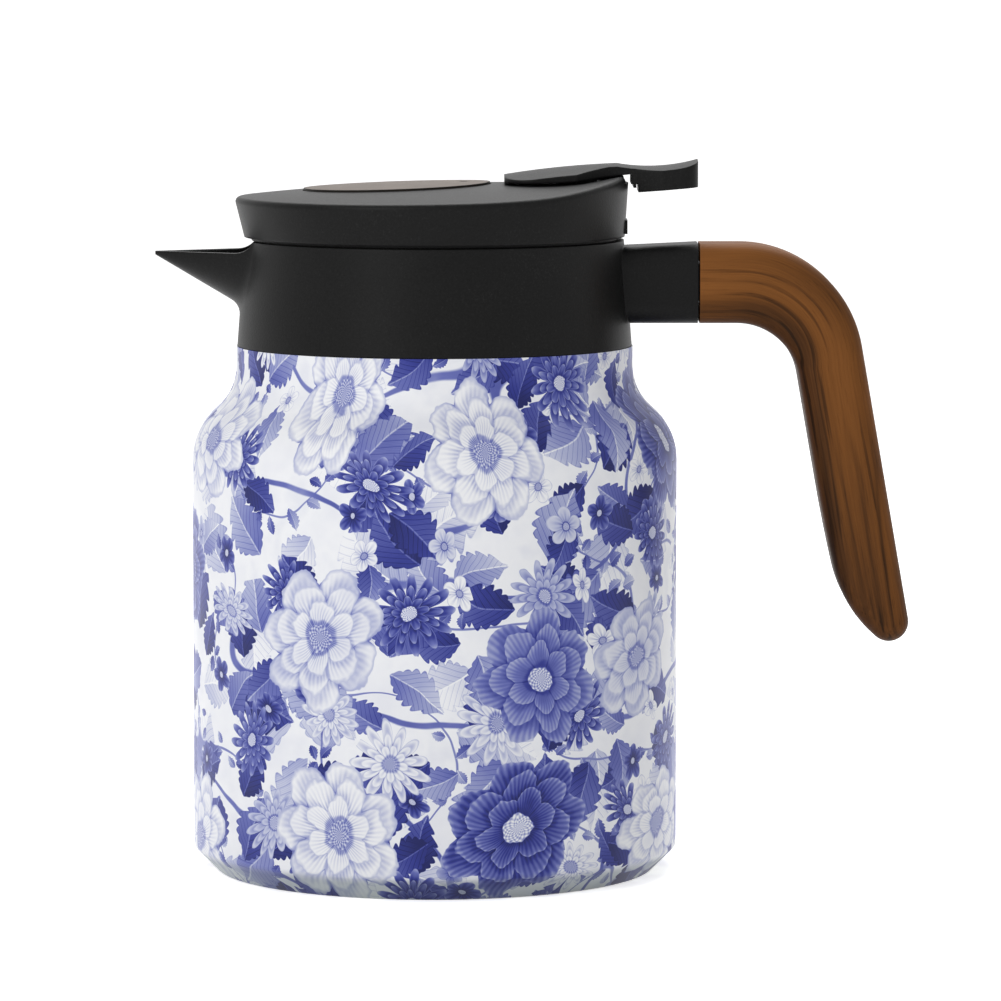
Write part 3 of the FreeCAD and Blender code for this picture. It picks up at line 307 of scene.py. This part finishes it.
def flower(x, y, ruffle, chance, radius, rows, lines, pale):
    """Cover and tone of a flower that faces a random way, with rows of (share, count, notch) petals."""
    x, y = turn_place(x, y, chance[0] * TURN)
    y = y / (0.66 + fract(chance[0] * 5.7) * 0.34)
    reach = hypot(x, y) / (radius * (0.84 + chance[1] * 0.26)) + ruffle
    angle = compute("ARCTAN2", y, x)
    cover = tone = None
    for share, count, notch in rows:
        along, row_tone = petals(angle, reach, share, count, notch, lines, pale)
        inside = fade(1.0 - along, 0.0, 0.025)
        shadow = fade(1.3 - along, 0.0, 0.3) * 0.14
        tone = mix(tone - shadow, row_tone, inside) if tone else row_tone
        cover = compute("MAXIMUM", inside, cover) if cover else inside
    ring = fade(0.27 - reach, 0.0, 0.06)
    inner_zone = fade(0.19 - reach, 0.0, 0.02)
    dots = compute("SINE", angle * 15.0) * compute("SINE", reach * 105.0)
    tone = tone - ring * mix(0.05, 0.3, pale)
    return cover, mix(tone, mix(0.78, 0.62, pale) + dots * 0.26, inner_zone)


def leaf(x, y, chance, length, width, tone):
    """Cover and tone of a toothed leaf with a midrib and veins, turned a random way."""
    size = length * (0.75 + chance[1] * 0.5)
    x, y = turn_place(x, y, chance[0] * TURN)
    along = x / size
    across = y / size + along * along * (0.22 * width / length)
    side = size_of(across)
    teeth = size_of(compute("SINE", along * 11.0 + side * 6.0)) * 0.30
    half = (1.0 - along * along) * (0.9 - along * 0.4 + teeth) * (width / length)
    cover = fade(half - side, 0.0, 0.04)
    place = (along - side * 1.1) * 4.5
    veins = fade(size_of(fract(place) - 0.5), 0.38, 0.48)
    hatch = compute("SINE", place * (TURN * 4.0)) * 0.035
    rib = fade(0.035 - side, 0.0, 0.03)
    fold = fade(across, -0.02, 0.02) * 0.14
    shade = tone + (along + 0.4) * 0.14 + fold + hatch - veins * 0.14 + rib * 0.26
    return cover, shade - fade(side / half, 0.84, 0.98) * 0.14


def stalk(tree, u, v, layer, scale):
    """How far a place is from winding lines, the middle level of one layer of a noise."""
    return size_of(noise(tree, join(tree, u, v, layer), scale, detail=0.0) - 0.5)


def over(below, layer, share=1.0):
    """The tone below, covered by a layer's tone where the layer is."""
    cover, tone = layer
    return mix(below, tone, cover * share)


def print_tone(tree, place):
    """The whole pattern on the unrolled body: u round it from the spout, v up it."""
    x, y, z = split(tree, place)
    u = compute("ARCTAN2", -y, -x) * BODY_RADIUS + (noise(tree, place, scale=60.0) - 0.5) * (5 * MM)
    v = z + (noise(tree, place, scale=47.0) - 0.5) * (5 * MM)
    wash = noise(tree, place, scale=90.0, detail=3.0)
    ruffle = (noise(tree, place, scale=260.0) - 0.5) * 0.22
    lean_u = u * 0.92 + v * 0.39
    lean_v = v * 0.92 - u * 0.39
    tone = 0.99 - fade(wash, 0.52, 0.75) * 0.10

    # Large pale leaves behind everything
    dx, dy, chance = scatter(tree, lean_u, lean_v, spacing=24 * MM, jitter=0.8, shift=1.7)
    tone = over(tone, leaf(dx, dy, chance, length=9.5 * MM, width=6.2 * MM, tone=0.66 + chance[2] * 0.14))

    # Thin twigs along the level lines of a noise, with leaflets beside them, and thicker vines
    twig = stalk(tree, u, v, layer=7.7, scale=30.0)
    tone = mix(tone, 0.5, fade(0.006 - twig, 0.0, 0.004))
    dx, dy, chance = scatter(tree, u, v, spacing=5.4 * MM, jitter=0.6, shift=8.2)
    beside = fade(0.040 - stalk(tree, u - dx, v - dy, layer=7.7, scale=30.0), 0.0, 0.002)
    leaflet = leaf(dx, dy, chance, length=2.3 * MM, width=1.2 * MM, tone=0.20 + chance[2] * 0.35)
    tone = over(tone, leaflet, beside)
    vine = stalk(tree, u, v, layer=3.1, scale=21.0)
    tone = mix(tone, 0.26 + wash * 0.3, fade(0.009 - vine, 0.0, 0.005))

    # Three layers of toothed leaves: spacing, length and width in millimetres, and a shift
    leaf_layers = [(16.5, 6.4, 3.6, 4.3), (21.5, 8.4, 5.0, 9.1), (19.0, 7.4, 4.2, 3.7)]
    for spacing, length, width, shift in leaf_layers:
        dx, dy, chance = scatter(tree, u, v, spacing * MM, jitter=0.6, shift=shift)
        depth = fade(chance[2], 0.25, 0.95)
        shown = fade(chance[1], 0.30, 0.31)
        tone = over(tone, leaf(dx, dy, chance, length * MM, width * MM, tone=0.06 + depth * 0.44), shown)

    # Small blossoms, middling flowers of narrow petals and large ones of wide petals
    dx, dy, chance = scatter(tree, lean_v, lean_u, spacing=14.5 * MM, jitter=0.7, shift=6.6)
    rows = [(1.0, 5, 0.4)]
    pale = fade(chance[2], 0.4, 0.7)
    blossom = flower(dx, dy, ruffle, chance, radius=4.3 * MM, rows=rows, lines=3.0, pale=pale)
    tone = over(tone, blossom, fade(chance[1], 0.6, 0.61))

    dx, dy, chance = scatter(tree, lean_u, lean_v, spacing=31 * MM, jitter=0.55, shift=2.9)
    rows = [(1.0, 13, 0.55), (0.72, 13, 0.5), (0.46, 9, 0.4)]
    pale = fade(chance[2], 0.5, 0.8)
    tone = over(tone, flower(dx, dy, ruffle, chance, radius=10.2 * MM, rows=rows, lines=2.0, pale=pale))

    dx, dy, chance = scatter(tree, u, v, spacing=50 * MM, jitter=0.5, shift=5.2)
    rows = [(1.0, 7, 0.26), (0.78, 7, 0.3), (0.52, 6, 0.34)]
    pale = fade(chance[2], 0.45, 0.75)
    tone = over(tone, flower(dx, dy, ruffle, chance, radius=19.2 * MM, rows=rows, lines=9.0, pale=pale))
    return tone + (wash - 0.5) * 0.20


def make_printed_shell():
    """White satin lacquer with the print, and painted shade that greys it on the downward-facing bevel of the
    foot.
    """
    material, tree, shader, place = new_material("printed_shell", Roughness=0.36, Specular_IOR_Level=0.2)
    colour = ramp(tree, print_tone(tree, place), [
        (0.0, srgb(28, 33, 92)), (0.2, srgb(50, 58, 142)), (0.45, srgb(104, 112, 180)),
        (0.7, srgb(172, 178, 212)), (0.9, srgb(222, 224, 234)), (1.0, srgb(240, 241, 244)),
    ])
    z = split(tree, place)[2]
    # Painted shade: below the top of the foot's bevel the print is multiplied by a grey
    low = fade(FOOT_TOP_Z - z, -0.6 * MM, 2.0 * MM)
    feed(tree, shader.inputs["Base Color"], tint(tree, colour, srgb(206, 212, 210), low))
    relief(tree, shader, noise(tree, place, scale=700.0), distance=0.02 * MM, strength=0.4)
    return material


# The other materials

def make_black_plastic(name, level, roughness):
    """Moulded black plastic with a fine grain."""
    material, tree, shader, place = new_material(name, Specular_IOR_Level=0.1)
    grain = noise(tree, place, scale=1900.0, roughness=0.7)
    cloud = noise(tree, place, scale=35.0)
    shade = ramp(tree, grain * 0.7 + cloud * 0.3, [
        (0.3, grey(level - 5)), (0.6, grey(level + 4)), (0.74, grey(level + 18)),
    ])
    feed(tree, shader.inputs["Base Color"], shade)
    feed(tree, shader.inputs["Roughness"], roughness + (grain - 0.5) * 0.16)
    relief(tree, shader, grain, distance=0.08 * MM, strength=0.5, rounding=0.7 * MM)
    return material


def make_wood():
    """Oiled walnut whose grain runs along the grip, darker towards its inner side."""
    material, tree, shader, place = new_material("wood", Specular_IOR_Level=0.08)
    x, y, z = split(tree, place)
    out = x - BEND_X
    up = z - BEND_Z
    below = compute("MINIMUM", up, 0.0)
    out_leg = compute("MAXIMUM", out + below * GRIP_LEAN, 0.0)
    layer = hypot(out_leg, compute("MAXIMUM", up, 0.0))
    run = compute("MAXIMUM", out, -30 * MM) - up

    def grain(out_scale, side_scale, run_scale, detail, roughness=0.5):
        stretched = join(tree, layer * out_scale, y * side_scale, run * run_scale)
        return noise(tree, stretched, 1.0, detail, roughness)

    slow = grain(60.0, 60.0, 11.0, detail=2.0)
    fibre = grain(2300.0, 2300.0, 60.0, detail=3.0, roughness=0.6)
    pores = fade(grain(3600.0, 3600.0, 150.0, detail=1.0), 0.66, 0.76)
    # A darker band towards the grip's inner side, where the distance from the bend is small
    inner_zone = fade(INNER_DARK_LAYER - layer + (slow - 0.5) * (12 * MM), -1.6 * MM, 2.2 * MM)
    lines = compute("SINE", layer * 1500.0 + run * 60.0 + slow * 20.0) * 0.5 + 0.5
    lined = fade(run, 20 * MM, 70 * MM) * fade(slow, 0.35, 0.6)
    ring = grain(520.0, 260.0, 14.0, detail=2.0, roughness=0.6)
    streaks = fade(ring, 0.56, 0.66) - fade(ring, 0.66, 0.80) * 0.7
    darker = fade(run, -40 * MM, 10 * MM) * 0.24 + fade(run, 40 * MM, 110 * MM) * 0.10
    tone = 0.60 + (slow - 0.5) * 0.7 + (fibre - 0.5) * 0.28 - darker - inner_zone * 0.22
    tone = tone - compute("POWER", lines, 4.0) * lined * 0.14 - pores * 0.10 - streaks * 0.18
    colour = ramp(tree, tone, [
        (0.05, srgb(45, 27, 12)), (0.25, srgb(82, 50, 24)), (0.45, srgb(115, 71, 33)),
        (0.8, srgb(149, 94, 46)),
    ])
    feed(tree, shader.inputs["Base Color"], colour)
    feed(tree, shader.inputs["Roughness"], 0.48 + pores * 0.2 + fibre * 0.08)
    relief(tree, shader, fibre - pores * 0.6, distance=0.04 * MM, strength=0.4)
    return material


def make_satin_disc():
    """Taupe inset plate with a faint turned finish, painted shade along its rim for the groove round it, and a
    dark round mark.
    """
    material, tree, shader, place = new_material("satin_disc", Roughness=0.5, Specular_IOR_Level=0.1)
    x, y, z = split(tree, place)
    low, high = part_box("lid_disc")
    radius = hypot(x - (low.x + high.x) / 2, y)
    rings = noise(tree, join(tree, radius * 2400.0, z), scale=1.0, detail=1.0)
    cloud = noise(tree, place, scale=120.0)
    colour = ramp(tree, rings * 0.5 + cloud * 0.5, [(0.3, srgb(98, 89, 82)), (0.7, srgb(118, 107, 99))])
    # Painted shade: the disc's outer rim is darkened where the groove round it lies in shadow
    painted_groove_shade = fade(radius - DISC_RADIUS, -0.4 * MM, -0.1 * MM)
    mark = fade(MARK_RADIUS - hypot(x - MARK_X, y), -0.2 * MM, 0.1 * MM)
    dark = compute("MAXIMUM", painted_groove_shade, mark)
    feed(tree, shader.inputs["Base Color"], tint(tree, colour, (0.1, 0.1, 0.1), dark))
    relief(tree, shader, rings, distance=0.03 * MM, strength=0.3, rounding=0.3 * MM)
    return material


def make_steel(name, dark, bright):
    """Brushed steel between two greys, with the marks running round the jug's axis."""
    material, tree, shader, place = new_material(name, Metallic=1.0)
    x, y, z = split(tree, place)
    angle = compute("ARCTAN2", y, x)
    brush = noise(tree, join(tree, hypot(x, y) * 3000.0, angle * 6.0, z * 3000.0), scale=1.0)
    colour = ramp(tree, brush, [(0.3, grey(dark, blueness=3)), (0.7, grey(bright, blueness=3))])
    feed(tree, shader.inputs["Base Color"], colour)
    feed(tree, shader.inputs["Roughness"], 0.28 + brush * 0.14)
    relief(tree, shader, brush, distance=0.02 * MM, strength=0.3, rounding=0.2 * MM)
    return material


def make_soft_seal():
    """Milky silicone with a dull skin."""
    material, tree, shader, place = new_material("soft_seal", Subsurface_Weight=0.2, Subsurface_Scale=2 * MM)
    cloud = noise(tree, place, scale=300.0, detail=3.0)
    colour = ramp(tree, cloud, [(0.3, srgb(206, 206, 202)), (0.7, srgb(224, 224, 221))])
    feed(tree, shader.inputs["Base Color"], colour)
    feed(tree, shader.inputs["Roughness"], 0.45 + cloud * 0.2)
    relief(tree, shader, cloud, distance=0.03 * MM, strength=0.3, rounding=0.2 * MM)
    return material


def make_seal_disc():
    """Dull grey plastic button under the base."""
    material, tree, shader, place = new_material("seal_disc")
    grain = noise(tree, place, scale=1200.0)
    colour = ramp(tree, grain, [(0.3, grey(176, blueness=2)), (0.7, grey(192, blueness=2))])
    feed(tree, shader.inputs["Base Color"], colour)
    feed(tree, shader.inputs["Roughness"], 0.5 + grain * 0.15)
    relief(tree, shader, grain, distance=0.04 * MM, strength=0.4, rounding=0.3 * MM)
    return material


def paint_nodes():
    """Give every node the finish of its slot in the record, and the handle's core a dark one."""
    finishes = {
        "printed_shell": make_printed_shell(),
        "steel": make_steel("steel", dark=176, bright=206),
        "seal_disc": make_seal_disc(),
        "black_plastic": make_black_plastic("black_plastic", level=19, roughness=0.42),
        "inner_plastic": make_black_plastic("inner_plastic", level=26, roughness=0.4),
        "soft_seal": make_soft_seal(),
        "wood": make_wood(),
        "satin_disc": make_satin_disc(),
    }
    for row in frame["record"]["subparts"]:
        mesh = frame["nodes"][row["node"]].data
        mesh.materials.clear()
        mesh.materials.append(finishes[row["material_slot"]])
    frame["nodes"]["handle_core"].data.materials[0] = make_steel("blackened_steel", dark=18, bright=34)
    return finishes


def make_spring(finish):
    """The valve spring as a coil on the lid; how far it would shorten when the valve lifts is worked out but not
    applied.
    """
    curve = bpy.data.curves.new("spring_coil", "CURVE")
    curve.dimensions = "3D"
    curve.bevel_depth = SPRING_WIRE
    curve.bevel_resolution = 3
    curve.use_fill_caps = True
    steps = int(SPRING_TURNS * STEPS_PER_TURN)
    line = curve.splines.new("POLY")
    line.points.add(steps)
    for step, point in enumerate(line.points):
        share = step / steps
        angle = share * SPRING_TURNS * TURN
        height = SPRING_LOW_Z + share * (SPRING_HIGH_Z - SPRING_LOW_Z)
        point.co = (SPRING_RADIUS * math.cos(angle), SPRING_RADIUS * math.sin(angle), height, 1.0)
    tube = bpy.data.objects.new("spring_tube", curve)
    bpy.context.scene.collection.objects.link(tube)
    bpy.context.view_layer.update()
    mesh = bpy.data.meshes.new_from_object(tube.evaluated_get(bpy.context.evaluated_depsgraph_get()))
    bpy.data.objects.remove(tube)
    mesh.materials.clear()
    mesh.materials.append(finish)
    for face in mesh.polygons:
        face.use_smooth = True
    spring = bpy.data.objects.new("spring", mesh)
    bpy.context.scene.collection.objects.link(spring)
    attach(spring, "lid")
    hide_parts("valve_spring")
    travel = next(joint for joint in frame["joints"] if joint["name"] == "valve_lift")["range_m"][1]
    length = CEILING_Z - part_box("valve_spring")[0].z
    (length - travel) / length
    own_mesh(spring)


# Floor, light and camera

def make_floor():
    """A pale floor that fades into the background and keeps the jug's shadow."""
    mesh = bpy.data.meshes.new("floor")
    corners = [(x * FLOOR_REACH, y * FLOOR_REACH, 0) for x, y in ((-1, -1), (1, -1), (1, 1), (-1, 1))]
    mesh.from_pydata(corners, [], [(0, 1, 2, 3)])
    floor = bpy.data.objects.new("floor", mesh)
    bpy.context.scene.collection.objects.link(floor)
    material, tree, shader, place = new_material("floor", Roughness=0.9, Specular_IOR_Level=0.1)
    shade = ramp(tree, noise(tree, place, scale=3.0), [(0.3, (0.86, 0.86, 0.86)), (0.7, (0.88, 0.88, 0.88))])
    feed(tree, shader.inputs["Base Color"], shade)
    shader.inputs["Emission Color"].default_value = (1, 1, 1, 1)
    feed(tree, shader.inputs["Emission Strength"], seen_strength(tree, FLOOR_GLOW, 0.0))
    mesh.materials.append(material)


def make_lamp(name, place, width, height, watts):
    """A soft box that faces the jug."""
    data = bpy.data.lights.new(name, "AREA")
    data.shape = "RECTANGLE"
    data.size = width
    data.size_y = height
    data.energy = watts
    lamp = bpy.data.objects.new(name, data)
    lamp.location = place
    lamp.rotation_euler = (Vector(LAMP_TARGET) - Vector(place)).to_track_quat("-Z", "Y").to_euler()
    bpy.context.scene.collection.objects.link(lamp)


def make_light():
    """A white surround, a key lamp from the front left and a lamp from above and behind."""
    world = bpy.data.worlds.new("studio")
    bpy.context.scene.world = world
    world.use_nodes = True
    background = next(node for node in world.node_tree.nodes if node.type == "BACKGROUND")
    background.inputs["Color"].default_value = (1.0, 1.0, 1.0, 1.0)
    feed(world.node_tree, background.inputs["Strength"], seen_strength(world.node_tree, 1.0, SKY_LIGHT))
    make_lamp("key", KEY_PLACE, width=0.7, height=0.9, watts=KEY_WATTS)
    make_lamp("top", TOP_PLACE, width=0.9, height=0.9, watts=TOP_WATTS)


def make_camera():
    """The photograph's view, level from left to right."""
    data = bpy.data.cameras.new("camera")
    camera = bpy.data.objects.new("camera", data)
    eye = Vector((VIEW_X, -EYE_DISTANCE, EYE_HEIGHT))
    target = Vector((VIEW_X, 0.0, VIEW_Z))
    camera.location = eye
    camera.rotation_euler = (target - eye).to_track_quat("-Z", "Y").to_euler()
    data.lens = data.sensor_width * (target - eye).length / VIEW_WIDTH
    data.clip_start = CLIP_NEAR
    data.clip_end = CLIP_FAR
    bpy.context.scene.collection.objects.link(camera)
    bpy.context.scene.camera = camera


finishes = paint_nodes()
make_spring(finishes["steel"])
make_floor()
make_light()
make_camera()
bpy.context.scene.view_settings.view_transform = "Standard"
